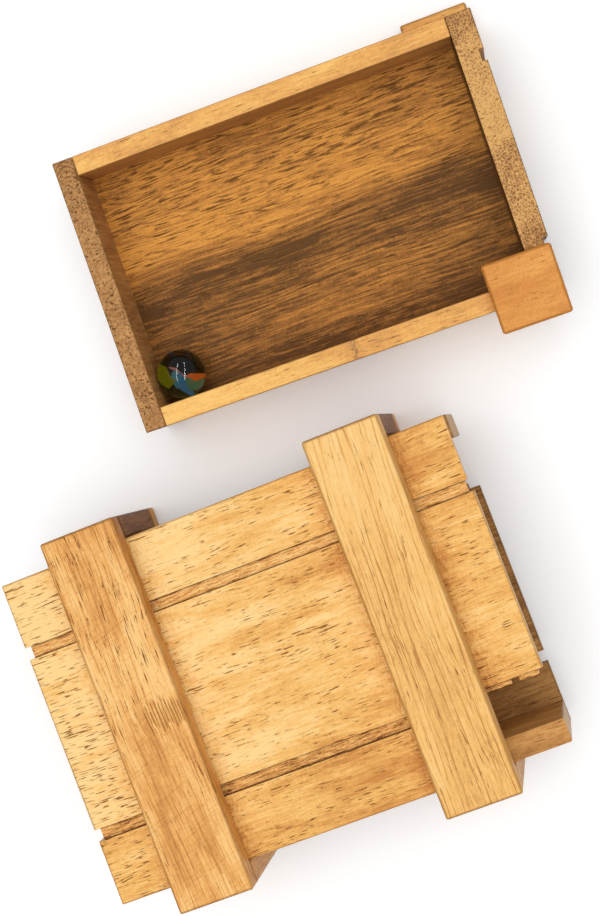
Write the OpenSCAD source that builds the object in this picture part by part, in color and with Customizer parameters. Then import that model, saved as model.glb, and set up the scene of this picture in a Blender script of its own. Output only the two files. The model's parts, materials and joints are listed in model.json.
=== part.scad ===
// Wooden puzzle box: a crate-shaped case with one open end, the drawer that fills it,
// set down on the table behind the case, and the glass marble kept in the drawer.
// X runs along the planks towards the open end, Y across them, Z up from the table.

/* [Case] */
// Length of the grooved boards, from the closed end to the open end
case_length = 150; // [120:1:220]
// Width of each outer strip of a grooved board
outer_strip_w = 21; // [18:0.5:32]
// Width of the middle strip of a grooved board
middle_strip_w = 57.2; // [40:0.2:90]
// Thickness of the top and bottom boards
board_t = 4.5; // [4:0.1:8]
// Height of the space between the top and bottom boards
channel_h = 33.5; // [28:0.5:50]
// Thickness of the two long side boards
side_t = 7.6; // [5:0.1:10]
// Thickness of the wall that closes one end
end_wall_t = 8.4; // [6:0.1:12]
// How much the back strip of the top board falls short at the open end
short_strip = 0.8; // [0:0.1:2]

/* [Saw grooves] */
// Width of the saw grooves that part a board into strips
groove_w = 4; // [2:0.1:5]
// Depth of the saw grooves in the faces of the boards
groove_depth = 1.4; // [0.6:0.1:2.4]
// Depth of the grooves where they run down the closed end
closed_end_groove = 1.7; // [1:0.1:4]
// Depth of the grooves where they run down the open end and the drawer's front
open_end_groove = 1.7; // [1:0.1:3]
// Depth of the notches at the open end of the bottom board, which are broken out deeper
bottom_mouth_notch = 3.4; // [1:0.1:5]

/* [Batten rings] */
// Width of the battens and posts, along the planks
batten_w = 24.8; // [16:0.2:32]
// Thickness of the battens, above and below the case
batten_t = 7.5; // [5:0.1:12]
// Thickness of the posts that join the battens outside the side boards
post_t = 7.6; // [5:0.1:12]
// Distance of each ring from its end of the case
ring_inset = 18.6; // [10:0.2:21]

/* [Corner blocks] */
// Length of the corner blocks, along the planks
block_length = 22.7; // [22.2:0.1:26]
// Width of the corner blocks, across the planks
block_w = 22.5; // [16:0.1:30]

/* [Drawer] */
// Thickness of the drawer's front wall
front_t = 8.4; // [6:0.1:12]
// Thickness of the drawer's back wall
back_t = 6.9; // [4:0.1:10]
// Thickness of the drawer's two long walls
wall_t = 6.4; // [4:0.1:10]
// Thickness of the drawer's floor panel
floor_t = 4.4; // [3:0.1:6]
// Depth of the tray above the floor panel
tray_depth = 19.5; // [17:0.5:22]
// How far the floor panel is let into each wall
floor_let_in = 2.4; // [1:0.1:3.5]

/* [Marble] */
// Diameter of the marble
marble_d = 16; // [12:0.5:16.5]

/* [Clearances] */
// Gap above and below the drawer in the case, and round the corner blocks
slide_gap = 0.3; // [0.2:0.05:0.6]
// Gap on each side of the drawer in the case
side_gap = 0.5; // [0.2:0.05:1]
// Gap left behind the drawer when it is shut
end_gap = 1.1; // [0.3:0.1:3]
// Gap between the marble and the walls and floor it lies against
marble_gap = 0.15; // [0.05:0.05:0.3]

/* [Edges] */
// Radius of the sanded edges of the boards
board_ease = 0.7; // [0.3:0.1:1.2]
// Radius of the sanded edges of the battens, posts and corner blocks
batten_ease = 1.1; // [0.4:0.1:2]
// Radius of the sanded edges of the drawer's walls
drawer_ease = 0.4; // [0.2:0.1:0.8]

/* [Where the drawer stands] */
// How far the drawer's back end stands past the closed end of the case
set_down_x = 57.8; // [0:0.1:120]
// Gap between the case's back posts and the near corner of the drawer
set_down_gap = 23.6; // [18:0.1:60]
// Turn of the drawer on the table, in degrees
set_down_turn = -2.4; // [-5:0.1:5]

/* [Hidden] */
$fn = 32;

over = 1; // how far a cutter runs past the face it cuts

// Case, from the table up and across its middle line
case_w = middle_strip_w + 2 * (groove_w + outer_strip_w);
channel_w = case_w - 2 * side_t;
channel_z = batten_t + board_t;
top_board_z = channel_z + channel_h;
case_top_z = top_board_z + board_t;
ring_w = case_w + 2 * post_t;
right_ring_x = case_length - ring_inset - batten_w;
groove_y = middle_strip_w / 2 + groove_w / 2;

// Cut-outs of the boards that the corner blocks fill
cutout_length = block_length + slide_gap;
cutout_w = block_w + 2 * slide_gap;

// Drawer, from its outer corner at the closed end
drawer_length = case_length - end_wall_t - end_gap;
drawer_w = channel_w - 2 * side_gap;
drawer_h = channel_h - 2 * slide_gap;
inner_length = drawer_length - front_t - back_t;
floor_top = drawer_h - tray_depth;
floor_z = floor_top - floor_t;
block_t = board_t;
block_overhang = side_t + side_gap - slide_gap;
block_x = drawer_length - block_length;
block_inner_edge = block_w - block_overhang;

// The drawer rests on its near bottom edge and the inner edge of its bottom block
drawer_tilt = atan2(block_t, drawer_w - block_inner_edge);
drawer_place = [set_down_x, ring_w / 2 + set_down_gap, 0];

// Footprint of the whole set, whose middle is the origin
drawer_outline = [
    [0, 0, drawer_h],
    [0, drawer_w, 0],
    [drawer_length, 0, drawer_h],
    [drawer_length, -block_overhang, drawer_h + block_t],
    [block_x, drawer_w + block_overhang, -block_t],
    [drawer_length, drawer_w + block_overhang, -block_t],
    [drawer_length, drawer_w, 0]
];
drawer_reach = [for (corner = drawer_outline) on_table(corner)];
set_min_x = min([0, for (p = drawer_reach) p.x]);
set_max_x = max([case_length, for (p = drawer_reach) p.x]);
set_max_y = max([for (p = drawer_reach) p.y]);
set_middle = [(set_min_x + set_max_x) / 2, (set_max_y - ring_w / 2) / 2, 0];

// Place on the table of a point given in the drawer's own frame
function on_table(p) =
    let (y = p.y * cos(drawer_tilt) - p.z * sin(drawer_tilt),
         z = p.y * sin(drawer_tilt) + p.z * cos(drawer_tilt))
    drawer_place + [p.x * cos(set_down_turn) - y * sin(set_down_turn),
                    p.x * sin(set_down_turn) + y * cos(set_down_turn),
                    z];

// ---------------------------------------------------------------- frames

// Children are in the case's frame: closed end at x = 0, middle line at y = 0
module in_case() {
    translate(-set_middle) children();
}

// Children are in the drawer's frame: back end, near side and underside at 0
module in_drawer() {
    translate(drawer_place - set_middle)
        rotate([0, 0, set_down_turn])
            rotate([drawer_tilt, 0, 0]) children();
}

// ---------------------------------------------------------------- shared shapes

// Rectangle with its corner at 0 and rounded corners
module eased_rectangle(w, h, r) {
    translate([r, 0]) square([w - 2 * r, h]);
    translate([0, r]) square([w, h - 2 * r]);
    for (x = [r, w - r], y = [r, h - r])
        translate([x, y]) circle(r);
}

// Board with its corner at 0 and every edge sanded round
module eased_board(size, r) {
    intersection() {
        linear_extrude(size.z) eased_rectangle(size.x, size.y, r);
        translate([0, size.y, 0]) rotate([90, 0, 0])
            linear_extrude(size.y) eased_rectangle(size.x, size.z, r);
        rotate([90, 0, 90])
            linear_extrude(size.x) eased_rectangle(size.y, size.z, r);
    }
}

// Board of three strips parted by two saw grooves in its upper face; one corner,
// on the side that cut_side names, is cut out for a corner block. At the open end the
// grooves go right through the board for the length of mouth_notch
module grooved_board(cut_side, mouth_notch) {
    difference() {
        translate([0, -case_w / 2, 0]) eased_board([case_length, case_w, board_t], board_ease);
        for (side = [-1, 1]) translate([0, side * groove_y - groove_w / 2, 0]) {
            translate([-over, 0, board_t - groove_depth])
                cube([case_length + 2 * over, groove_w, groove_depth + over]);
            translate([-over, 0, -over])
                cube([closed_end_groove + over, groove_w, board_t + 2 * over]);
            translate([case_length - mouth_notch, 0, -over])
                cube([mouth_notch + over, groove_w, board_t + 2 * over]);
        }
        corner_cutout(cut_side, -over, board_t + 2 * over);
    }
}

// Space of a corner block at the open end, in the case's frame
module corner_cutout(cut_side, z, h) {
    y = cut_side > 0 ? case_w / 2 - cutout_w : -case_w / 2 - over;
    translate([case_length - cutout_length, y, z])
        cube([cutout_length + over, cutout_w + over, h]);
}

// Two saw grooves down the outer face of an end piece, centred on y = 0
module end_grooves(x, depth, h) {
    for (side = [-1, 1])
        translate([x, side * groove_y - groove_w / 2, -over])
            cube([depth, groove_w, h + 2 * over]);
}

// ---------------------------------------------------------------- case

module top_board() color("#d9963f") in_case()
    difference() {
        translate([0, 0, top_board_z]) grooved_board(-1, open_end_groove);
        translate([case_length - short_strip, groove_y + groove_w / 2, top_board_z - over])
            cube([short_strip + over, outer_strip_w + over, board_t + 2 * over]);
    }

module bottom_board() color("#8a5a2a") in_case()
    translate([0, 0, channel_z]) mirror([0, 0, 1]) grooved_board(1, bottom_mouth_notch);

// Long side board; under a corner block its edge is trimmed by a shaving
module side_board(side) {
    trim = 2 * slide_gap;
    trim_z = side < 0 ? top_board_z - trim : channel_z - over;
    difference() {
        translate([0, side < 0 ? -case_w / 2 : case_w / 2 - side_t, channel_z])
            eased_board([case_length, side_t, channel_h], board_ease);
        corner_cutout(side, trim_z, trim + over);
    }
}

module front_side_board() color("#c98a3c") in_case() side_board(-1);

module back_side_board() color("#c98a3c") in_case() side_board(1);

module end_wall() color("#a97a45") in_case()
    translate([0, 0, channel_z]) difference() {
        translate([0, -channel_w / 2, 0]) cube([end_wall_t, channel_w, channel_h]);
        end_grooves(-over, closed_end_groove + over, channel_h);
    }

// ---------------------------------------------------------------- batten rings

module batten(x, z)
    translate([x, -ring_w / 2, z]) eased_board([batten_w, ring_w, batten_t], batten_ease);

module post(x, side)
    translate([x, side < 0 ? -ring_w / 2 : case_w / 2, batten_t])
        eased_board([batten_w, post_t, case_top_z - batten_t], batten_ease);

module left_top_batten() color("#cf8a45") in_case() batten(ring_inset, case_top_z);

module right_top_batten() color("#e0b060") in_case() batten(right_ring_x, case_top_z);

module left_bottom_batten() color("#b87a3c") in_case() batten(ring_inset, 0);

module right_bottom_batten() color("#b87a3c") in_case() batten(right_ring_x, 0);

module left_front_post() color("#9a6a3a") in_case() post(ring_inset, -1);

module right_front_post() color("#9a6a3a") in_case() post(right_ring_x, -1);

module left_back_post() color("#7a5030") in_case() post(ring_inset, 1);

module right_back_post() color("#7a5030") in_case() post(right_ring_x, 1);

// ---------------------------------------------------------------- drawer

// Slot that the floor panel is let into, cut round the inside of the four walls
module floor_slot()
    translate([back_t - floor_let_in, wall_t - floor_let_in, floor_z])
        cube([inner_length + 2 * floor_let_in, drawer_w - 2 * (wall_t - floor_let_in), floor_t]);

module drawer_front() color("#a8814f") in_drawer()
    difference() {
        translate([drawer_length - front_t, 0, 0])
            eased_board([front_t, drawer_w, drawer_h], drawer_ease);
        translate([0, drawer_w / 2, 0])
            end_grooves(drawer_length - open_end_groove, open_end_groove + over, drawer_h);
        floor_slot();
    }

module drawer_back() color("#a8814f") in_drawer()
    difference() {
        eased_board([back_t, drawer_w, drawer_h], drawer_ease);
        floor_slot();
    }

module long_wall(y)
    difference() {
        translate([back_t, y, 0]) eased_board([inner_length, wall_t, drawer_h], drawer_ease);
        floor_slot();
    }

module drawer_near_wall() color("#dfa24c") in_drawer() long_wall(0);

module drawer_far_wall() color("#dfa24c") in_drawer() long_wall(drawer_w - wall_t);

module drawer_floor() color("#8b5a2b") in_drawer() floor_slot();

module corner_block(y, z)
    translate([block_x, y, z]) eased_board([block_length, block_w, block_t], batten_ease);

module top_corner_block() color("#d98f3e") in_drawer() corner_block(-block_overhang, drawer_h);

module bottom_corner_block() color("#d98f3e") in_drawer()
    corner_block(drawer_w - block_inner_edge, -block_t);

// ---------------------------------------------------------------- marble

module marble() color("#4f6b3a") in_drawer()
    translate([back_t, wall_t, floor_top] + (marble_d / 2 + marble_gap) * [1, 1, 1])
        sphere(d = marble_d, $fn = 64);

top_board();
bottom_board();
front_side_board();
back_side_board();
end_wall();
left_top_batten();
right_top_batten();
left_bottom_batten();
right_bottom_batten();
left_front_post();
right_front_post();
left_back_post();
right_back_post();
drawer_front();
drawer_back();
drawer_near_wall();
drawer_far_wall();
drawer_floor();
top_corner_block();
bottom_corner_block();
marble();
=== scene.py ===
"""Looks of a wooden puzzle box: lacquered planks and battens, a drawer with end-grain walls,
and a glass marble. Lengths are in metres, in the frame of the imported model."""

import json
import math
from collections import namedtuple
from dataclasses import dataclass

import bpy
from mathutils import Euler, Matrix, Vector


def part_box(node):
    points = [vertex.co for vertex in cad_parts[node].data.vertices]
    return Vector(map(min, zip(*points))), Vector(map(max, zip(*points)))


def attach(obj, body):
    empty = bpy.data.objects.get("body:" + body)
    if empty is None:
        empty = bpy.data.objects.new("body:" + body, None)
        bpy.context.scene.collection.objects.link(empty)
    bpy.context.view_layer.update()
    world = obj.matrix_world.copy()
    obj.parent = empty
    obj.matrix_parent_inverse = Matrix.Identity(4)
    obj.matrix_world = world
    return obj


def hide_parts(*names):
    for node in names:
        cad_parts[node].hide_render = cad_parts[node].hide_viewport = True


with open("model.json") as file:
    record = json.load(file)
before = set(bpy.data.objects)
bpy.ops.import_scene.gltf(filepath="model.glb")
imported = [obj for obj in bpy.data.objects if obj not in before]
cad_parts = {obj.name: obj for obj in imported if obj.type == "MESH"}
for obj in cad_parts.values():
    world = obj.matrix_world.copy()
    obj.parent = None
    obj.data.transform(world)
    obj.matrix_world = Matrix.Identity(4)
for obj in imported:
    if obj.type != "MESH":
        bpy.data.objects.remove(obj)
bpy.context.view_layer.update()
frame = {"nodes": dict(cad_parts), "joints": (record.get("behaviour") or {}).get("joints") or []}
NODES = frame["nodes"]
MM = 0.001


# ---------------------------------------------------------------- places taken from the frame

def slide_axis():
    """Direction in which the drawer slides."""
    joint = next(j for j in frame["joints"] if j["name"] == "drawer_slide")
    return Vector(joint["axis"]).normalized()


def drawer_turn():
    """Rotation of the set-down drawer: along its slide, across it, and square to its floor."""
    along = slide_axis()
    widest = max(NODES["drawer_floor"].data.polygons, key=lambda face: face.area)
    up = widest.normal if widest.normal.z > 0 else -widest.normal
    across = up.cross(along)
    return Matrix((along, across, up)).transposed()


def middle(node):
    """Middle of a CAD node's box."""
    low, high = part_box(node)
    return (low + high) / 2


def size(node, axis):
    """Size of a CAD node's box along an axis."""
    low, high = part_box(node)
    return high[axis] - low[axis]


ALONG_X = Matrix.Identity(3)
ALONG_Y = Matrix.Rotation(math.radians(90), 3, "Z")
UPRIGHT = Matrix.Rotation(math.radians(-90), 3, "Y")
DRAWER = drawer_turn()

# Thicknesses of the case's boards
BOARD_T = size("top_board", 2)
END_WALL_T = size("end_wall", 0)

# Thicknesses of the drawer's walls, and the length of floor that shows between them. They are
# written out, because the drawer stands askew and the boxes of its boards are wider than they are.
FRONT_T = 8.4 * MM
BACK_T = 6.9 * MM
WALL_T = 6.4 * MM
FLOOR_SEEN = 125.2 * MM

# The saw grooves of the boards: their distance from the middle line, width and depth
GROOVE_Y = 30.6 * MM
GROOVE_W = 4.0 * MM
GROOVE_DEPTH = 1.4 * MM

# Where the camera stands, and its turn in radians
CAMERA_PLACE = Vector((0.079933, -0.015472, 0.591825))
CAMERA_TURN = Euler((-0.0279, 0.1413, -0.3725))


# ---------------------------------------------------------------- node graphs

class Graph:
    """A node tree, with one short call for each kind of node."""

    def __init__(self, tree):
        self.nodes = tree.nodes
        self.links = tree.links

    def feed(self, socket, value):
        """Links a socket to another node's output, or sets it to a plain value or a colour."""
        if isinstance(value, bpy.types.NodeSocket):
            self.links.new(value, socket)
        elif socket.type == "RGBA":
            socket.default_value = (*value, 1.0)
        elif value is not None:
            socket.default_value = value

    def math(self, operation, *values):
        """Result of one operation on sockets or numbers."""
        node = self.nodes.new("ShaderNodeMath")
        node.operation = operation
        for socket, value in zip(node.inputs, values):
            self.feed(socket, value)
        return node.outputs[0]

    def board(self, origin, turn):
        """Coordinates on a board: x along its grain, y and z across it."""
        place = self.nodes.new("ShaderNodeTexCoord")
        node = self.nodes.new("ShaderNodeMapping")
        node.vector_type = "TEXTURE"
        self.feed(node.inputs["Vector"], place.outputs["Object"])
        node.inputs["Location"].default_value = origin
        node.inputs["Rotation"].default_value = turn.to_euler()
        return node.outputs[0]

    def cells(self, place, along, across, seed):
        """Coordinates in cells of that length along the grain and that width across it."""
        node = self.nodes.new("ShaderNodeMapping")
        self.feed(node.inputs["Vector"], place)
        node.inputs["Location"].default_value = (7.3 * seed, 11.9 * seed, 5.1 * seed)
        node.inputs["Scale"].default_value = (1 / along, 1 / across, 1 / across)
        return node.outputs[0]

    def noise(self, place, detail=2.0, rough=0.5, colour=False):
        """Soft noise with features about one cell across, around 0.5."""
        node = self.nodes.new("ShaderNodeTexNoise")
        self.feed(node.inputs["Vector"], place)
        node.inputs["Scale"].default_value = 1.0
        node.inputs["Detail"].default_value = detail
        node.inputs["Roughness"].default_value = rough
        return node.outputs["Color"] if colour else node.outputs["Fac"]

    def span(self, value, low, high, out_low=0.0, out_high=1.0):
        """Value rescaled from low..high to out_low..out_high, and kept there."""
        node = self.nodes.new("ShaderNodeMapRange")
        for socket, number in zip(node.inputs, (value, low, high, out_low, out_high)):
            self.feed(socket, number)
        return node.outputs[0]

    def seen(self, straight=1.0, mirrored=1.0):
        """One value for what the camera sees, another through glass or a reflection, else 0."""
        path = self.nodes.new("ShaderNodeLightPath")
        bent = self.math("MAXIMUM", path.outputs["Is Glossy Ray"], path.outputs["Is Transmission Ray"])
        camera = self.math("MULTIPLY", path.outputs["Is Camera Ray"], straight)
        return self.math("MAXIMUM", camera, self.math("MULTIPLY", bent, mirrored))

    def axis(self, place, name):
        """One of a place's coordinates: X, Y or Z."""
        node = self.nodes.new("ShaderNodeSeparateXYZ")
        self.feed(node.inputs[0], place)
        return node.outputs[name]

    def blend(self, share, first, second):
        """First colour where share is 0, second where it is 1."""
        node = self.nodes.new("ShaderNodeMix")
        node.data_type = "RGBA"
        self.feed(node.inputs["Factor"], share)
        self.feed(node.inputs[6], first)
        self.feed(node.inputs[7], second)
        return node.outputs[2]

    def ramp(self, value, stops):
        """Colour from a list of (position, colour) stops."""
        node = self.nodes.new("ShaderNodeValToRGB")
        while len(node.color_ramp.elements) < len(stops):
            node.color_ramp.elements.new(0.5)
        for element, (position, colour) in zip(node.color_ramp.elements, stops):
            element.position = position
            element.color = (*colour, 1.0)
        self.feed(node.inputs[0], value)
        return node.outputs[0]

    def warp(self, place, amount, seed):
        """Coordinates pushed sideways by soft noise, so that the grain wanders."""
        push = self.nodes.new("ShaderNodeVectorMath")
        push.operation = "MULTIPLY_ADD"
        drift = self.noise(self.cells(place, 45 * MM, 12 * MM, seed), 1.0, colour=True)
        self.feed(push.inputs[0], drift)
        push.inputs[1].default_value = (0.0, amount, amount)
        self.feed(push.inputs[2], place)
        return push.outputs[0]

    def lean(self, place, back, front):
        """Coordinates in which grain that slopes away from the middle runs straight."""
        along = self.axis(place, "X")
        slope = self.math("MULTIPLY_ADD", self.math("MAXIMUM", along, 0.0), -back,
                          self.math("MULTIPLY", self.math("MINIMUM", along, 0.0), -front))
        push = self.nodes.new("ShaderNodeCombineXYZ")
        self.feed(push.inputs["Y"], slope)
        node = self.nodes.new("ShaderNodeVectorMath")
        node.operation = "ADD"
        self.feed(node.inputs[0], place)
        self.feed(node.inputs[1], push.outputs[0])
        return node.outputs[0]

    def towards(self, direction):
        """How far faces look along that direction or against it: 1 straight, 0 not at all."""
        place = self.nodes.new("ShaderNodeTexCoord")
        node = self.nodes.new("ShaderNodeVectorMath")
        node.operation = "DOT_PRODUCT"
        self.feed(node.inputs[0], place.outputs["Normal"])
        node.inputs[1].default_value = direction
        return self.math("ABSOLUTE", node.outputs["Value"])

    def facing(self, direction):
        """1 on faces that look along that direction or against it, 0 on the others."""
        return self.span(self.towards(direction), 0.6, 0.85)

    def rounded(self, turn):
        """1 on the rounded edges of a board that is turned so, 0 on its faces."""
        x, y, z = (self.towards(turn.col[axis]) for axis in range(3))
        flat = self.math("MAXIMUM", x, self.math("MAXIMUM", y, z))
        return self.span(flat, 0.99, 0.9)

    def bump(self, height, distance):
        """Normal of a surface that stands up by up to that distance."""
        node = self.nodes.new("ShaderNodeBump")
        node.inputs["Strength"].default_value = 1.0
        node.inputs["Distance"].default_value = distance
        self.feed(node.inputs["Height"], height)
        return node.outputs[0]


class Finish(Graph):
    """A material and its node tree. The functions below take it as f."""

    def __init__(self, name):
        self.material = bpy.data.materials.new(name)
        self.material.use_nodes = True
        super().__init__(self.material.node_tree)
        self.nodes.clear()

    def surface(self, colour, roughness, normal=None, **sockets):
        """A principled surface. Sockets are named as the shader names them, with _ for a space."""
        shader = self.nodes.new("ShaderNodeBsdfPrincipled")
        output = self.nodes.new("ShaderNodeOutputMaterial")
        self.feed(shader.inputs["Base Color"], colour)
        self.feed(shader.inputs["Roughness"], roughness)
        self.feed(shader.inputs["Normal"], normal)
        for name, value in sockets.items():
            self.feed(shader.inputs[name.replace("_", " ")], value)
        self.links.new(shader.outputs[0], output.inputs["Surface"])
        return self.material


# ---------------------------------------------------------------- timbers

@dataclass
class Timber:
    """One kind of wood: its colours, and how strongly each part of its figure shows."""

    pale: tuple
    body: tuple
    deep: tuple
    pore: tuple
    # colour of the end faces: painted light on some timbers, painted shade on others
    end: tuple = None
    clouds: float = 1.3
    streaks: float = 1.0
    streak_length: float = 16 * MM
    streak_width: float = 0.9 * MM
    rays: float = 0.35
    pores: float = 0.5
    pore_length: float = 2.4 * MM
    pore_width: float = 0.13 * MM
    pore_blur: float = 0.06
    lines: float = 0.0
    line_gap: float = 1.5 * MM
    crackle: float = 0.0
    scratches: float = 0.0
    gloss: float = 0.15

    @property
    def stain_and_edge_shade(self):
        """Colour of the stain around pores, and of the painted shade and gathered lacquer on rounded
        edges.
        """
        return tuple(0.6 * channel for channel in self.deep)


class Board:
    """Where a board lies: its coordinates as they are, and along its wandering grain."""

    def __init__(self, f, node, turn, seed, lean):
        self.turn = turn
        self.seed = seed
        self.straight = f.board(middle(node), turn)
        self.grain = f.warp(f.lean(self.straight, *lean), 4 * MM, seed)


def spread(f, value, strength):
    """Noise around 0.5 turned into a shift around 0."""
    return f.math("MULTIPLY_ADD", value, strength, -0.5 * strength)


def total(f, *values):
    """Sum of tones."""
    result = values[0]
    for value in values[1:]:
        result = f.math("ADD", result, value)
    return result


# How a board differs from place to place: its tone, how crowded its pores are, and dark marks
Variation = namedtuple("Variation", "tone crowding marks", defaults=(0.0, 0.0, 0.0))


def pores(f, timber, board, crowding):
    """Stain around the pores, and the dark pores themselves, as fine dashes along the grain."""
    place, seed = board.grain, board.seed
    dash = f.noise(f.cells(place, 2.6 * timber.pore_length, 2.6 * timber.pore_width, seed + 6), 0.0)
    dots = f.noise(f.cells(place, 1.1 * MM, 0.5 * MM, seed + 7), 0.0)
    crowd = f.noise(f.cells(place, 24 * MM, 5 * MM, seed + 5), 2.0)
    depth = total(f, dash, spread(f, dots, 0.22), spread(f, crowd, 0.4), crowding)
    edge = 0.84 - 0.2 * timber.pores
    return f.span(depth, edge - 0.12, edge), f.span(depth, edge, edge + timber.pore_blur)


def fine_lines(f, board, gap):
    """Thin lines along the grain, about gap apart, that wander and fade."""
    wander = f.noise(f.cells(board.grain, 130 * MM, 6 * MM, board.seed + 11), 2.0)
    phase = total(f, f.math("DIVIDE", f.axis(board.grain, "Y"), gap),
                  f.math("DIVIDE", f.axis(board.grain, "Z"), 2 * gap), spread(f, wander, 4.0))
    line = f.span(f.math("PINGPONG", phase, 0.5), 0.13, 0.03)
    fade = f.noise(f.cells(board.grain, 26 * MM, 1.3 * MM, board.seed + 12), 1.0)
    return f.math("MULTIPLY", line, f.span(fade, 0.3, 0.55))


def crackle(f, board):
    """A fine net of lines, as lacquered end grain shows."""
    net = f.nodes.new("ShaderNodeTexVoronoi")
    net.feature = "DISTANCE_TO_EDGE"
    f.feed(net.inputs["Vector"], f.cells(board.grain, 9 * MM, 0.95 * MM, board.seed + 14))
    net.inputs["Scale"].default_value = 1.0
    return f.span(net.outputs["Distance"], 0.16, 0.04)


def sanding_scratches(f, board):
    """Fine scratches slanting over the grain."""
    slant = f.nodes.new("ShaderNodeMapping")
    f.feed(slant.inputs["Vector"], board.straight)
    slant.inputs["Rotation"].default_value = (0.0, 0.0, math.radians(72))
    scratch = f.noise(f.cells(slant.outputs[0], 26 * MM, 0.5 * MM, board.seed + 13), 1.0)
    return f.span(scratch, 0.62, 0.72)


def figure(f, timber, board, variation):
    """Colour of the wood, its dark marks, and its fibres."""
    place, seed = board.grain, board.seed
    cloud = f.noise(f.cells(place, 26 * MM, 7 * MM, seed + 1), 3.0, 0.6)
    streak = f.cells(place, timber.streak_length, timber.streak_width, seed + 2)
    streak = f.noise(streak, 3.0, 0.65)
    fibre = f.noise(f.cells(place, 4 * MM, 0.2 * MM, seed + 3), 1.0, 0.6)
    ray = f.noise(f.cells(place, 0.45 * MM, 2.2 * MM, seed + 4), 1.0)
    tone = total(f, 0.42, spread(f, cloud, timber.clouds), spread(f, streak, timber.streaks),
                 spread(f, fibre, 0.8), spread(f, ray, timber.rays), variation.tone)
    stain, marks = pores(f, timber, board, variation.crowding)
    marks = f.math("MAXIMUM", marks, variation.marks)
    if timber.lines:
        tone = f.math("MULTIPLY_ADD", fine_lines(f, board, timber.line_gap), timber.lines, tone)
    if timber.crackle:
        net = f.math("MULTIPLY", crackle(f, board), f.facing(board.turn.col[0]))
        tone = f.math("MULTIPLY_ADD", net, -timber.crackle, tone)
    if timber.scratches:
        tone = f.math("MULTIPLY_ADD", sanding_scratches(f, board), timber.scratches, tone)
    colour = f.ramp(tone, [(0.1, timber.pale), (0.45, timber.body), (0.95, timber.deep)])
    colour = f.blend(f.math("MULTIPLY", stain, 0.55), colour, timber.stain_and_edge_shade)
    colour = f.blend(f.math("MULTIPLY", marks, 0.85), colour, timber.pore)
    return colour, marks, fibre


# How a board is dressed: its timber, its turn (the grain runs along X), how far the grain leans
# behind and in front of the middle, what makes it vary, and the face with the saw grooves
Dress = namedtuple("Dress", "timber turn lean vary cut", defaults=((0.0, 0.0), None, None))


def wood(node, dress, seed):
    """The lacquered wood of one board."""
    f = Finish(node + "_wood")
    timber, cut = dress.timber, dress.cut
    board = Board(f, node, dress.turn, seed, dress.lean)
    variation = dress.vary(f, board) if dress.vary else Variation()
    colour, marks, fibre = figure(f, timber, board, variation)
    # Rounded edges darkened: painted shade that outlines the boards, and lacquer gathered there
    edge_shade_and_lacquer = f.rounded(board.turn)
    colour = f.blend(f.math("MULTIPLY", edge_shade_and_lacquer, 0.5), colour, timber.stain_and_edge_shade)
    # End faces take the timber's end colour: painted light on the pale ends of HONEY and SIDE, painted
    # shade on the dark ends of TAN and PALE
    if timber.end:
        ends = f.facing(board.turn.col[0])
        colour = f.blend(f.math("MULTIPLY", ends, 0.7), colour, timber.end)
    height = f.math("MULTIPLY_ADD", fibre, 0.4, f.math("MULTIPLY", marks, -1.0))
    roughness = f.span(marks, 0.0, 1.0, 0.42, 0.7)
    if cut:
        raw = sawn(f, board, cut)
        rough_colour, rough_height = saw_cut(f, board, cut)
        colour = f.blend(raw, colour, rough_colour)
        height = f.math("MULTIPLY_ADD", f.math("MULTIPLY", raw, rough_height), 3.0, height)
        roughness = f.math("MAXIMUM", roughness, f.math("MULTIPLY", raw, 0.9))
    normal = f.bump(height, distance=0.12 * MM)
    return f.surface(colour, roughness, normal, Specular_IOR_Level=timber.gloss)


# ---------------------------------------------------------------- raw wood in the saw grooves

# A sawn face: the board's axis across its grooves, the axis and side that the face looks to, and
# how far it lies from the board's middle
Cut = namedtuple("Cut", "across out side place")


def off_groove(f, board, across="Y"):
    """Distance from the middle line of the nearer groove."""
    place = f.math("ABSOLUTE", f.axis(board.straight, across))
    return f.math("ABSOLUTE", f.math("SUBTRACT", place, GROOVE_Y))


def sawn(f, board, cut):
    """1 in the grooves of that face of a board, 0 elsewhere."""
    within = f.math("LESS_THAN", off_groove(f, board, cut.across), 0.505 * GROOVE_W)
    height = f.math("MULTIPLY", f.axis(board.straight, cut.out), cut.side)
    below = f.math("LESS_THAN", height, cut.place - 0.15 * MM)
    above = f.math("GREATER_THAN", height, cut.place - GROOVE_DEPTH - 0.1 * MM)
    return f.math("MULTIPLY", within, f.math("MULTIPLY", below, above))


def saw_cut(f, board, cut):
    """Torn pale fibres with brown streaks between them, and edges darkened by saw burn and painted
    shade.
    """
    place, seed = board.straight, board.seed
    tear = f.noise(f.cells(place, 5 * MM, 0.55 * MM, seed + 21), 3.0, 0.7)
    crumb = f.noise(f.cells(place, 0.9 * MM, 0.5 * MM, seed + 22), 2.0)
    side = f.span(f.axis(place, cut.across), -GROOVE_Y, GROOVE_Y, 0.54, 0.36)
    tone = total(f, side, spread(f, tear, 2.1), spread(f, crumb, 0.7))
    colour = f.ramp(tone, [(0.1, (0.98, 0.62, 0.24)), (0.45, (0.80, 0.38, 0.105)),
                           (0.9, (0.20, 0.065, 0.016))])
    # Dark edges of the groove floor: saw burn, and painted shade where the floor meets the groove
    # walls
    edge = total(f, off_groove(f, board, cut.across), spread(f, tear, 1.2 * MM))
    burn_and_shade = f.span(edge, 1.45 * MM, 1.75 * MM)
    return f.blend(f.math("MULTIPLY", burn_and_shade, 0.72), colour, (0.07, 0.025, 0.008)), tear


# ---------------------------------------------------------------- how each board differs

def banded(f, value, shades):
    """Tone along a value of 0 to 1, from (position, shade) stops."""
    return f.ramp(value, [(stop, (shade, shade, shade)) for stop, shade in shades])


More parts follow.
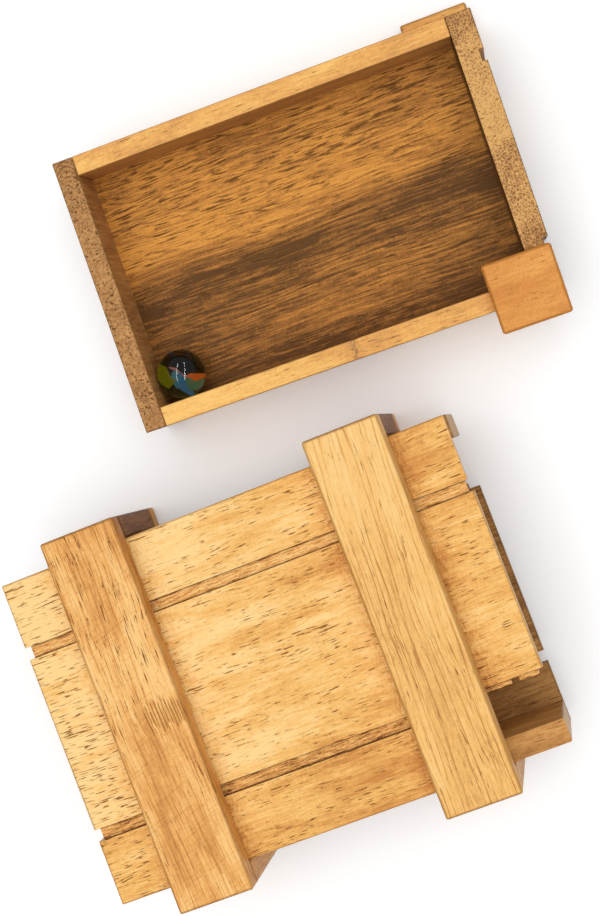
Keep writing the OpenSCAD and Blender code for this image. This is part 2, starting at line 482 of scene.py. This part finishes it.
def planks(f, board):
    """Paler towards the case's closed end, deeper at the front, the mouth and the battens."""
    along = f.axis(board.straight, "X")
    across = f.axis(board.straight, "Y")
    ends = f.span(along, -40 * MM, 15 * MM, -0.32, -0.02)
    front = f.span(across, -32 * MM, -34 * MM, 0.0, 0.31)
    mouth = f.math("MULTIPLY", f.span(along, 42 * MM, 56 * MM, 0.0, 0.14),
                   f.span(across, 30 * MM, 34 * MM))
    beside_groove = f.span(off_groove(f, board), 2 * MM, 9 * MM, 0.07, 0.0)
    hatch = f.noise(f.cells(board.straight, 0.35 * MM, 2.2 * MM, board.seed + 15), 2.0)
    scuffs = f.span(hatch, 0.44, 0.62, 0.02, 0.4)
    centre = middle("top_board").x
    beside = 0.0
    for batten in ("left_top_batten", "right_top_batten"):
        gap = f.math("ABSOLUTE", f.math("SUBTRACT", along, middle(batten).x - centre))
        half_width = size(batten, 0) / 2
        near = f.span(gap, half_width, half_width + 6 * MM, 1.0, 0.0)
        beside = f.math("MULTIPLY_ADD", near, scuffs, beside)
    tone = total(f, ends, front, mouth, beside_groove, beside)
    return Variation(tone, crowding=f.span(along, -75 * MM, -20 * MM, 0.045, 0.0))


def knot_side(f, board):
    """A patch of close dark ticks beside a knot, paler behind it and browner at the back end."""
    # Half the patch's sizes, and how far its middle lies forward and right, in those halves
    half_length, half_width = 5 * MM, 8.5 * MM
    forward, right = 0.25, 0.35
    near = f.nodes.new("ShaderNodeMapping")
    f.feed(near.inputs["Vector"], board.grain)
    near.inputs["Location"].default_value = (forward, right, 0.0)
    near.inputs["Scale"].default_value = (1 / half_length, 1 / half_width, 0.0)
    patch = f.nodes.new("ShaderNodeVectorMath")
    patch.operation = "LENGTH"
    f.feed(patch.inputs[0], near.outputs[0])
    ragged = f.noise(f.cells(board.grain, 5 * MM, 0.9 * MM, 3.3))
    inside = f.span(total(f, patch.outputs["Value"], spread(f, ragged, 2.4)), 0.75, 1.05, 1.0, 0.0)
    phase = f.math("DIVIDE", f.axis(board.grain, "Y"), 1.0 * MM)
    ticks = f.span(f.math("PINGPONG", phase, 0.5), 0.2, 0.08)
    along = f.axis(board.straight, "X")
    brown = f.span(along, 30 * MM, 42 * MM, 0.0, 0.07)
    off_pale = f.math("ABSOLUTE", f.math("SUBTRACT", along, 11 * MM))
    pale = f.span(off_pale, 5 * MM, 18 * MM, -0.26, -0.04)
    return Variation(total(f, f.math("MULTIPLY", inside, 0.16), brown, pale),
                     crowding=f.span(along, -5 * MM, 5 * MM, -0.05, 0.02),
                     marks=f.math("MULTIPLY", f.math("MULTIPLY", ticks, inside), 0.8))


def heartwood(f, board):
    """Heartwood bands along the drawer's floor, between golden sapwood with crowded pores, with
    painted shade towards the front wall and a painted shadow line at its foot.
    """
    wander = spread(f, f.noise(f.cells(board.grain, 50 * MM, 15 * MM, 4.0), 1.0), 7 * MM)
    along = f.axis(board.straight, "X")
    across = f.math("MULTIPLY_ADD", along, -0.035, f.math("ADD", f.axis(board.grain, "Y"), wander))
    shades = [(0.0, 0.86), (0.08, 0.92), (0.13, 0.8), (0.19, 0.58), (0.24, 0.54), (0.3, 0.68),
              (0.36, 0.72), (0.44, 0.77), (0.5, 0.84), (0.55, 0.68), (0.59, 0.46), (0.66, 0.3),
              (0.76, 0.26), (0.88, 0.34), (1.0, 0.3)]
    tone = banded(f, f.span(across, -39 * MM, 39 * MM), shades)
    far_half = f.span(across, -5 * MM, 10 * MM, 0.14, -0.12)
    back_end = f.math("MULTIPLY", f.span(along, -60 * MM, 10 * MM, 1.0, 0.0), far_half)
    # Painted shade: the floor darkens towards the front wall
    front_end = f.span(along, 25 * MM, 60 * MM, 0.0, 0.14)
    # Painted shadow: a dark line along the foot of the front wall, drawn in the pore colour
    gap = f.span(along, FLOOR_SEEN / 2 - 0.6 * MM, FLOOR_SEEN / 2 - 0.3 * MM)
    return Variation(total(f, f.math("MULTIPLY_ADD", tone, 0.9, -0.34), back_end, front_end),
                     crowding=f.span(across, 8 * MM, 26 * MM, -0.06, 0.04), marks=gap)


def inner_face(f, board, axis, side, place):
    """1 on the face that looks along that axis, on that side, and lies at that place."""
    height = f.math("MULTIPLY", f.axis(board.straight, axis), side)
    return f.span(height, place - 0.2 * MM, place - 0.08 * MM)


def far_wall(f, board):
    """Painted shade on its face inside the drawer."""
    return Variation(f.math("MULTIPLY", inner_face(f, board, "Y", -1.0, WALL_T / 2), 0.4))


def near_wall(f, board):
    """Paler towards its back end, with a stained joint between its two lengths."""
    off_joint = f.math("SUBTRACT", f.axis(board.straight, "X"), 3.0 * MM)
    back = f.span(off_joint, -65 * MM, -1 * MM, -0.36, 0.02)
    front = f.span(off_joint, -0.2 * MM, 0.2 * MM, 0.0, -0.07)
    spots = f.noise(f.cells(board.straight, 0.8 * MM, 1.2 * MM, board.seed + 16), 1.0)
    stain = f.math("MULTIPLY", f.span(f.math("ABSOLUTE", off_joint), 0.2 * MM, 2 * MM, 1.0, 0.0),
                   f.span(spots, 0.4, 0.6, 0.05, 0.6))
    return Variation(total(f, back, front, stain))


def back_wall(f, board):
    """Smooth and brown inside the drawer, with dark rings at its far end."""
    inside = inner_face(f, board, "Z", -1.0, BACK_T / 2)
    across = f.axis(board.straight, "Y")
    bow = f.math("MULTIPLY", f.math("POWER", f.axis(board.straight, "Z"), 2.0), 200.0)
    ring = f.math("PINGPONG", f.math("DIVIDE", total(f, across, bow), 1.6 * MM), 0.5)
    rings = f.math("MULTIPLY", f.span(ring, 0.2, 0.1), f.span(across, 37 * MM, 41 * MM))
    return Variation(total(f, 0.04, f.math("MULTIPLY", inside, -0.12), f.math("MULTIPLY", rings, 0.5)),
                     crowding=f.math("MULTIPLY", inside, -0.5))


def front_wall(f, board):
    """Bands of different years across the drawer's front wall, and painted shade on its inner face."""
    inside = inner_face(f, board, "Z", 1.0, FRONT_T / 2)
    wander = spread(f, f.noise(f.cells(board.straight, 9 * MM, 5 * MM, 6.0), 2.0), 3 * MM)
    slope = f.math("MULTIPLY", f.axis(board.straight, "Z"), 0.45)
    across = total(f, f.axis(board.straight, "Y"), wander, slope)
    shades = [(0.22, 0.62), (0.28, 0.36), (0.4, 0.5), (0.52, 0.48), (0.545, 0.1), (0.63, 0.16),
              (0.76, 0.26), (0.87, 0.38), (0.97, 0.62)]
    tone = banded(f, f.span(across, -46 * MM, 46 * MM), shades)
    # The inner face is painted dark in the pore colour: painted shade
    return Variation(f.math("ADD", tone, -0.3), crowding=f.math("MULTIPLY", inside, -0.5),
                     marks=inside)


def pale_back(f, board):
    """Paler towards the batten's back end."""
    return Variation(f.span(f.axis(board.straight, "X"), 10 * MM, 60 * MM, 0.05, -0.18))


# Their end colours are painted light on HONEY and SIDE, and painted shade on TAN and PALE
HONEY = Timber((0.95, 0.64, 0.26), (0.87, 0.47, 0.12), (0.58, 0.22, 0.037), (0.25, 0.09, 0.02),
               streaks=0.8, pores=0.38, pore_length=1.5 * MM, pore_width=0.15 * MM,
               end=(0.68, 0.45, 0.23))
TAN = Timber((0.93, 0.56, 0.20), (0.80, 0.38, 0.095), (0.50, 0.19, 0.035), (0.18, 0.062, 0.016),
             clouds=1.5, streaks=0.8, pores=0.33, lines=0.45, scratches=0.2, end=(0.24, 0.11, 0.045))
PALE = Timber((0.93, 0.62, 0.25), (0.88, 0.49, 0.14), (0.50, 0.20, 0.04), (0.30, 0.11, 0.025),
              clouds=0.7, streaks=0.3, rays=0.2, pores=0.1, lines=0.42, line_gap=1.9 * MM,
              end=(0.24, 0.11, 0.045))
SMOOTH = Timber((0.93, 0.55, 0.15), (0.78, 0.37, 0.09), (0.43, 0.20, 0.065), (0.35, 0.14, 0.03),
                clouds=1.0, streaks=0.6, pores=0.08, pore_length=1.6 * MM)
ORANGE = Timber((0.80, 0.36, 0.08), (0.69, 0.27, 0.05), (0.56, 0.19, 0.03), (0.40, 0.15, 0.03),
                clouds=1.3, streaks=0.5, rays=0.6, pores=0.05, pore_length=1.2 * MM)
SIDE = Timber((0.70, 0.36, 0.11), (0.50, 0.23, 0.06), (0.26, 0.11, 0.032), (0.13, 0.045, 0.012),
              pores=0.25, gloss=0.1, end=(0.62, 0.41, 0.21))
FLOOR = Timber((0.71, 0.312, 0.057), (0.46, 0.185, 0.037), (0.125, 0.053, 0.014), (0.13, 0.05, 0.012),
               clouds=0.9, streaks=1.7, streak_length=26 * MM, streak_width=0.7 * MM, pores=0.75,
               pore_length=2.0 * MM, pore_width=0.22 * MM, pore_blur=0.18, gloss=0.05)
BROWN = Timber((0.56, 0.29, 0.09), (0.38, 0.18, 0.052), (0.17, 0.07, 0.02), (0.08, 0.03, 0.01),
               streaks=1.4, pores=0.4, gloss=0.08)
SHADED = Timber((0.44, 0.22, 0.085), (0.30, 0.14, 0.052), (0.15, 0.063, 0.024), (0.05, 0.02, 0.01),
                pores=0.3, gloss=0.04)
# Its near-black pore colour also paints the shade on the drawer front's inner face
END_GRAIN = Timber((0.72, 0.40, 0.13), (0.44, 0.21, 0.068), (0.20, 0.09, 0.03), (0.03, 0.012, 0.005),
                   clouds=0.8, pores=0.35, pore_length=9 * MM, pore_width=0.2 * MM, pore_blur=0.3,
                   crackle=0.5, gloss=0.08)
BACK_GRAIN = Timber((0.60, 0.32, 0.11), (0.42, 0.20, 0.066), (0.21, 0.095, 0.03), (0.13, 0.052, 0.016),
                    clouds=0.8, streaks=1.4, pores=0.62, pore_length=9 * MM, pore_width=0.26 * MM,
                    pore_blur=0.1, crackle=0.12, gloss=0.08)

TOP_GROOVES = Cut("Y", "Z", 1.0, BOARD_T / 2)
BOTTOM_GROOVES = Cut("Y", "Z", -1.0, BOARD_T / 2)
END_GROOVES = Cut("X", "Y", 1.0, END_WALL_T / 2)
WOODS = {
    "top_board": Dress(HONEY, ALONG_X, vary=planks, cut=TOP_GROOVES),
    "bottom_board": Dress(BROWN, ALONG_X, cut=BOTTOM_GROOVES),
    "front_side_board": Dress(SIDE, ALONG_X),
    "back_side_board": Dress(SIDE, ALONG_X),
    "end_wall": Dress(TAN, ALONG_Y, cut=END_GROOVES),
    "left_top_batten": Dress(TAN, ALONG_Y, lean=(0.0, 0.06), vary=knot_side),
    "right_top_batten": Dress(PALE, ALONG_Y, lean=(-0.05, 0.0), vary=pale_back),
    "left_bottom_batten": Dress(TAN, ALONG_Y),
    "right_bottom_batten": Dress(TAN, ALONG_Y),
    "left_front_post": Dress(TAN, UPRIGHT),
    "right_front_post": Dress(TAN, UPRIGHT),
    "left_back_post": Dress(SHADED, UPRIGHT),
    "right_back_post": Dress(SHADED, UPRIGHT),
    "drawer_front": Dress(END_GRAIN, DRAWER @ UPRIGHT, vary=front_wall),
    "drawer_back": Dress(BACK_GRAIN, DRAWER @ UPRIGHT, vary=back_wall),
    "drawer_near_wall": Dress(SMOOTH, DRAWER, vary=near_wall),
    "drawer_far_wall": Dress(SMOOTH, DRAWER, vary=far_wall),
    "drawer_floor": Dress(FLOOR, DRAWER, vary=heartwood),
    "top_corner_block": Dress(ORANGE, DRAWER),
    "bottom_corner_block": Dress(SMOOTH, DRAWER),
}


def dress_wood():
    """Gives every wooden node its own cut of its timber."""
    for number, (node, dress) in enumerate(WOODS.items()):
        data = NODES[node].data
        data.materials.clear()
        data.materials.append(wood(node, dress, seed=3.7 * number))


# ---------------------------------------------------------------- torn tongue of the top board

# The tongue is what the front groove leaves beside the open corner: its outer edge and its break
TONGUE_EDGE = 1.9 * MM
BREAK_FROM_END = (7.9 * MM, 10.7 * MM)


def alone(piece):
    """Makes a piece the only one that operators act on."""
    bpy.ops.object.select_all(action="DESELECT")
    piece.select_set(True)
    bpy.context.view_layer.objects.active = piece


def apply_all(piece):
    """Applies a piece's modifiers, first to last."""
    alone(piece)
    for modifier in list(piece.modifiers):
        bpy.ops.object.modifier_apply(modifier=modifier.name)


def flat_grid(cells, width, length):
    """A flat rectangle of that many cells each way, in edit mode and all selected."""
    bpy.ops.object.select_all(action="DESELECT")
    across, along = cells
    bpy.ops.mesh.primitive_grid_add(x_subdivisions=across, y_subdivisions=along, size=1.0)
    grid = bpy.context.object
    bpy.ops.object.mode_set(mode="EDIT")
    bpy.ops.mesh.select_all(action="SELECT")
    bpy.ops.transform.resize(value=(width, length, 1.0))
    return grid


def torn_cutter(low, high, cells, raggedness):
    """An upright block with ragged sides, to tear wood with."""
    foot = ((low.x + high.x) / 2, (low.y + high.y) / 2, low.z)
    cutter = flat_grid(cells, high.x - low.x, high.y - low.y)
    bpy.ops.transform.vertex_random(offset=raggedness, seed=5)
    bpy.ops.transform.translate(value=foot)
    bpy.ops.mesh.extrude_region_move(TRANSFORM_OT_translate={"value": (0, 0, high.z - low.z)})
    bpy.ops.mesh.select_all(action="SELECT")
    bpy.ops.mesh.normals_make_consistent(inside=False)
    bpy.ops.object.mode_set(mode="OBJECT")
    return cutter


def tear(piece, cutter):
    """Takes a cutter's shape out of a piece."""
    bite = piece.modifiers.new("bite", "BOOLEAN")
    bite.operation = "DIFFERENCE"
    bite.solver = "EXACT"
    bite.object = cutter
    apply_all(piece)
    bpy.data.objects.remove(cutter)


def torn_top_board():
    """The top board with the break in its tongue and the tongue's splintered edge."""
    board = bpy.data.objects.new("torn_top_board", NODES["top_board"].data.copy())
    bpy.context.scene.collection.objects.link(board)
    alone(board)
    bpy.ops.object.mode_set(mode="EDIT")
    bpy.ops.mesh.select_all(action="SELECT")
    bpy.ops.mesh.remove_doubles(threshold=0.001 * MM)
    bpy.ops.object.mode_set(mode="OBJECT")
    low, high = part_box("top_board")
    strip_edge = middle("top_board").y - GROOVE_Y + GROOVE_W / 2
    edge = strip_edge - TONGUE_EDGE
    groove_floor = high.z - GROOVE_DEPTH
    ragged_low = Vector((high.x - 22 * MM, edge - 1.5 * MM, low.z - 1 * MM))
    ragged_high = Vector((high.x - 1 * MM, edge + 0.15 * MM, groove_floor + 0.5 * MM))
    tear(board, torn_cutter(ragged_low, ragged_high, (26, 1), 0.25 * MM))
    near, far = BREAK_FROM_END
    break_low = Vector((high.x - far, edge - 0.8 * MM, low.z - 1 * MM))
    break_high = Vector((high.x - near, strip_edge + 0.1 * MM, groove_floor + 0.7 * MM))
    tear(board, torn_cutter(break_low, break_high, (3, 2), 0.3 * MM))
    alone(board)
    bpy.ops.object.shade_flat()
    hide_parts("top_board")
    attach(board, "case")


# ---------------------------------------------------------------- glass marble

# Vanes of coloured glass: colour, inner and outer edge in marble radii from the axis, and the
# angles in degrees at their back and front ends
Vane = namedtuple("Vane", "colour inner outer back front")
VANES = {
    "pink_vane": Vane((0.60, 0.20, 0.35), -0.14, 0.26, 152, 134),
    "grey_vane": Vane((0.06, 0.21, 0.46), 0.0, 0.29, 256, 154),
    "olive_vane": Vane((0.21, 0.195, 0.002), 0.3, 0.78, 158, 230),
    "blue_vane": Vane((0.045, 0.17, 0.62), 0.0, 0.53, 302, 258),
    "teal_vane": Vane((0.07, 0.20, 0.22), 0.1, 0.76, 346, 297),
    "orange_vane": Vane((0.86, 0.147, 0.03), 0.16, 0.6, 359, 334),
}


def vane_glass(name, colour):
    """Opaque coloured glass with a painted glow, standing in for the light that reaches it through the
    marble.
    """
    f = Finish(name)
    return f.surface(colour, 0.5, Emission_Color=colour, Emission_Strength=0.8,
                     Specular_IOR_Level=0.0)


def twisted_sheet(vane, radius):
    """A thin sheet that stands out from the upright axis and twists along it."""
    width = (vane.outer - vane.inner) * radius
    sheet = flat_grid((8, 24), width, 1.2 * radius)
    bpy.ops.transform.translate(value=(vane.inner * radius + width / 2, 0.0, 0.0))
    bpy.ops.object.mode_set(mode="OBJECT")
    sheet.rotation_euler = (math.radians(90), 0.0, 0.0)
    bpy.ops.object.transform_apply(location=False, rotation=True, scale=False)
    twist = sheet.modifiers.new("twist", "SIMPLE_DEFORM")
    twist.deform_method = "TWIST"
    twist.deform_axis = "Z"
    twist.angle = math.radians(vane.front - vane.back)
    body = sheet.modifiers.new("body", "SOLIDIFY")
    body.thickness = 0.2 * MM
    body.offset = 0.0
    apply_all(sheet)
    return sheet


def facing_camera(place):
    """Rotation that turns upright things at a place to point at the camera."""
    right = CAMERA_TURN.to_matrix().col[0]
    out = (CAMERA_PLACE - place).normalized()
    up = out.cross(right).normalized()
    return Matrix((up.cross(out), up, out)).transposed()


def make_vane(name, vane):
    """A twisted sheet of coloured glass inside the marble."""
    centre = middle("marble")
    piece = twisted_sheet(vane, size("marble", 2) / 2)
    piece.name = name
    swing = Matrix.Rotation(math.radians((vane.back + vane.front) / 2), 3, "Z")
    piece.rotation_euler = (facing_camera(centre) @ swing).to_euler()
    piece.location = centre
    bpy.ops.object.transform_apply(location=True, rotation=True, scale=True)
    bpy.ops.object.shade_smooth()
    piece.data.materials.append(vane_glass(name + "_glass", vane.colour))
    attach(piece, "marble")


def dress_marble():
    """Dark olive glass around its vanes."""
    f = Finish("marble_glass")
    material = f.surface((0.12, 0.13, 0.03), 0.05, Transmission_Weight=1.0, IOR=1.5)
    data = NODES["marble"].data
    data.materials.clear()
    data.materials.append(material)
    for name, vane in VANES.items():
        make_vane(name, vane)


# ---------------------------------------------------------------- studio

WHITE = (1.0, 1.0, 1.0)


def table():
    """A white table top. It is paler to the camera than to the light that it throws back."""
    bpy.ops.mesh.primitive_plane_add(size=3.0, location=(0, 0, 0))
    top = bpy.context.object
    top.name = "table_top"
    f = Finish("white_table")
    seen = f.seen()
    shade = f.blend(seen, (0.76, 0.77, 0.78), (0.97, 0.985, 1.0))
    glow = f.math("MULTIPLY", seen, 0.1)
    top.data.materials.append(f.surface(shade, 1.0, Specular_IOR_Level=0.0,
                                        Emission_Color=WHITE, Emission_Strength=glow))


def put(name, data, place, turn):
    """Puts a lamp or a camera into the scene, at that place and turn."""
    holder = bpy.data.objects.new(name, data)
    holder.location = place
    holder.rotation_euler = turn
    bpy.context.scene.collection.objects.link(holder)
    return holder


def area_lamp(name, width, height, power):
    """A rectangular lamp. Its power is in watts."""
    lamp = bpy.data.lights.new(name, "AREA")
    lamp.shape = "RECTANGLE"
    lamp.size = width
    lamp.size_y = height
    lamp.energy = power
    return lamp


def softbox(name, place, aim, width, power):
    """A square lamp aimed at a point."""
    turn = (Vector(aim) - Vector(place)).to_track_quat("-Z", "Y").to_euler()
    put(name, area_lamp(name, width, width, power), place, turn)


def strip_light(name, aside, above):
    """A long narrow lamp beside the camera, for the streaks of light in the marble."""
    right, up = CAMERA_TURN.to_matrix().transposed()[:2]
    place = CAMERA_PLACE + aside * right + above * up
    lamp = area_lamp(name, width=0.02, height=1.1, power=1.7)
    strip = put(name, lamp, place, CAMERA_TURN)
    strip.visible_diffuse = False
    strip.visible_transmission = False


def white_room():
    """A room that is brightest overhead, plain white to the camera and dim in reflections."""
    world = bpy.data.worlds.new("white_room")
    bpy.context.scene.world = world
    world.use_nodes = True
    room = Graph(world.node_tree)
    height = room.axis(room.nodes.new("ShaderNodeTexCoord").outputs["Generated"], "Z")
    overhead = room.math("POWER", room.math("MAXIMUM", height, 0.0), 3.0)
    from_above, all_round = 2.15, 0.18
    light = room.math("MULTIPLY_ADD", overhead, from_above, all_round)
    unseen = room.math("SUBTRACT", 1.0, room.seen())
    strength = room.math("MULTIPLY_ADD", light, unseen, room.seen(straight=1.0, mirrored=0.3))
    background = room.nodes["Background"]
    room.feed(background.inputs["Color"], WHITE)
    room.feed(background.inputs["Strength"], strength)


def studio():
    """The room, a soft lamp on the closed end's side, and two strips beside the camera."""
    white_room()
    softbox("side_softbox", place=(-0.6, 0.1, 1.4), aim=(0, 0, 0), width=0.9, power=1.0)
    strip_light("left_strip", aside=-0.22, above=0.08)
    strip_light("right_strip", aside=0.17, above=0.2)


def camera():
    """Looks down on the set from above its open side."""
    data = bpy.data.cameras.new("camera")
    data.lens = 69.95
    data.sensor_width = 36.0
    data.clip_start = 0.01
    bpy.context.scene.camera = put("camera", data, CAMERA_PLACE, CAMERA_TURN)


camera()
studio()
table()
dress_wood()
torn_top_board()
dress_marble()
bpy.context.scene.view_settings.view_transform = "Standard"
